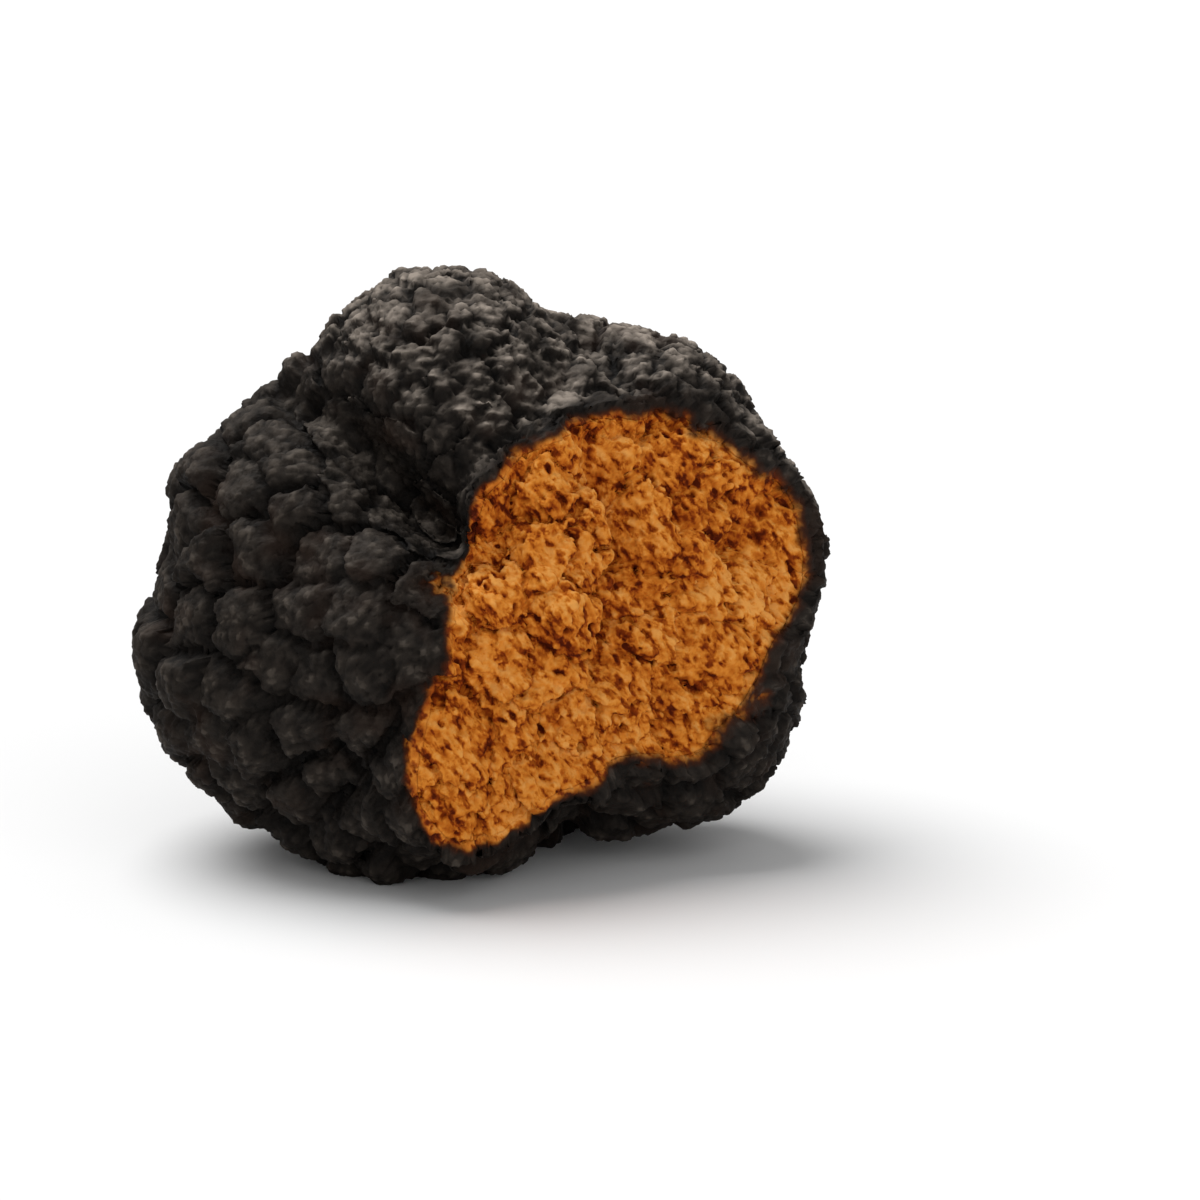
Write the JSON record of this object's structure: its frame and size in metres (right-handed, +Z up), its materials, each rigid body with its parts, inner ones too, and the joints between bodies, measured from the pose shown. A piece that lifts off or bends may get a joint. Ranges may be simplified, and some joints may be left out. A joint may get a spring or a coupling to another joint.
{
  "type": "chaga mushroom",
  "caption": "Broken-off chunk of chaga: a lobed body in a black, cracked, nodular crust, with a rough rust-orange corky core showing at the broken face.",
  "frame": {"origin": "bottom centre of the chunk's box, on the surface that the flat foot rests on", "axes": "+X to the right along the chunk's longest side, +Y away from the broken face towards the back, +Z up. The broken face looks along -Y and a little to +X"},
  "size_m": [0.1603, 0.1184, 0.1361],
  "materials": {
    "crust": "dull, dry, charcoal-black cracked rind, dusty grey-brown on its crowns",
    "core": "matt, dry, crumbly rust-orange cork with dark pits and cracks"
  },
  "bodies": {
    "root": {"crust": "crust", "core": "core"}
  },
  "joints": []
}
